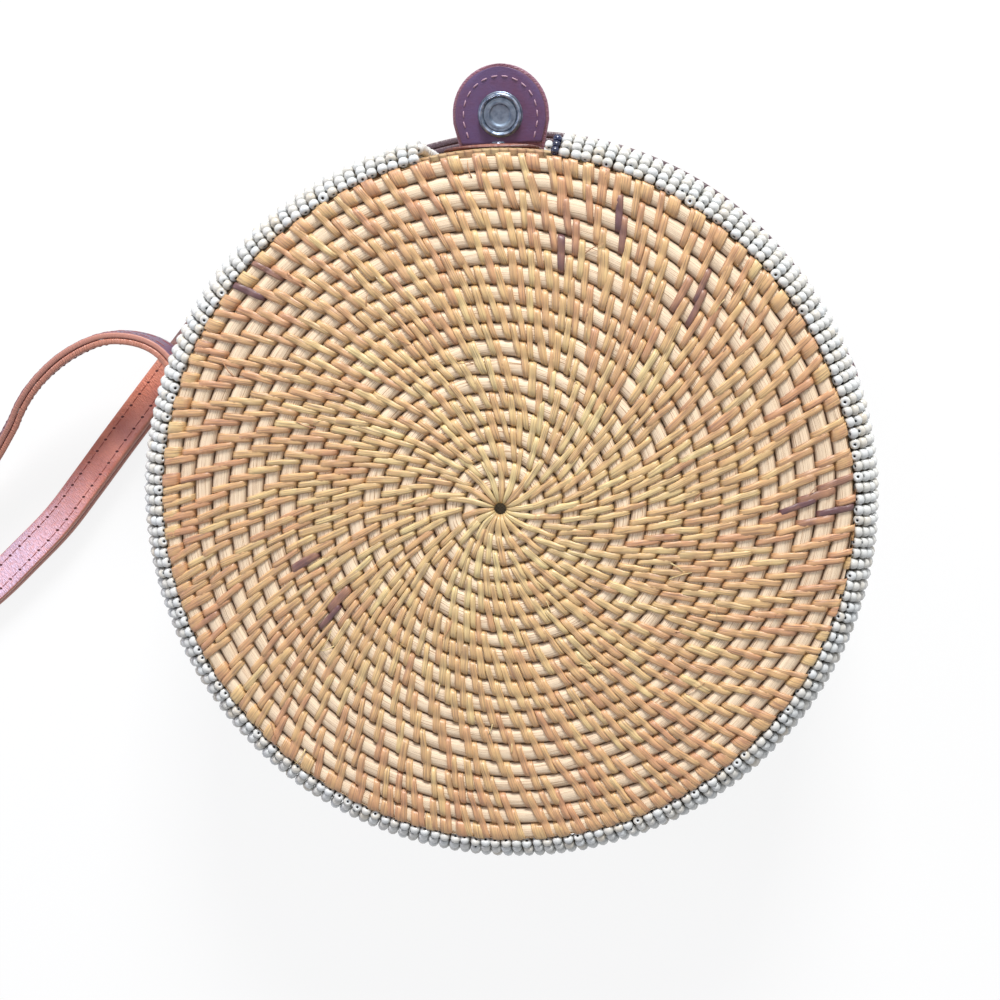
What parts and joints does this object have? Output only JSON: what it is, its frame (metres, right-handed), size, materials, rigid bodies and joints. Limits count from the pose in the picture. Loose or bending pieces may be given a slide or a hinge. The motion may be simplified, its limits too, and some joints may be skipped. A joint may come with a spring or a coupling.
{
  "type": "round rattan clamshell bag",
  "caption": "Round clamshell shoulder bag of coiled rattan with beaded sides, a leather snap tab, a bottom hinge and a leather strap, lying on its back.",
  "frame": {"origin": "middle of the back disc's outer face, which the bag rests on", "axes": "+Z from the back disc to the front disc, +Y towards the snap closure, +X to the right seen from the front"},
  "size_m": [0.4679, 0.236, 0.07],
  "materials": {
    "rattan": "natural split cane, lightly varnished",
    "beads": "opaque off-white seed beads, soft gloss",
    "dark_beads": "opaque navy seed beads, glossy",
    "bead_cloth": "plain cotton tape",
    "leather": "cognac leather, waxed, worn edges",
    "leather_lining": "smooth plum lining leather",
    "cotton": "plain woven cotton lining",
    "snap_metal": "antique nickel, worn",
    "rivet_metal": "antique brass"
  },
  "bodies": {
    "back_shell": {"back_disc": "rattan", "back_wall": "rattan", "back_bead_backing": "bead_cloth", "back_bead_rows": "beads", "back_lining": "cotton", "tab_root": "leather", "rivets": "rivet_metal", "rivet_burrs": "rivet_metal", "strap_leather": "leather", "strap_lining": "leather_lining", "left_keeper": "leather", "right_keeper": "leather", "back_hinge_leaf": "leather", "hinge_pin": "rattan"},
    "front_shell": {"front_disc": "rattan", "front_wall": "rattan", "front_bead_backing": "bead_cloth", "front_bead_rows": "beads", "accent_beads": "dark_beads", "front_lining": "cotton", "stud_patch": "leather", "snap_stud": "snap_metal", "stud_burr": "rivet_metal", "front_hinge_leaf": "leather"},
    "tab": {"tab_leather": "leather", "tab_lining": "leather_lining", "snap_socket": "snap_metal", "snap_cap": "snap_metal"}
  },
  "joints": [
    {"name": "shell_hinge", "type": "hinge", "parent": "back_shell", "child": "front_shell", "pos_m": [0, -0.1002, 0.035], "axis": [1, 0, 0], "range_deg": [0, 80]},
    {"name": "tab_fold", "type": "hinge", "parent": "back_shell", "child": "tab", "pos_m": [0, 0.0963, 0.033], "axis": [1, 0, 0], "range_deg": [-22, 78]}
  ]
}
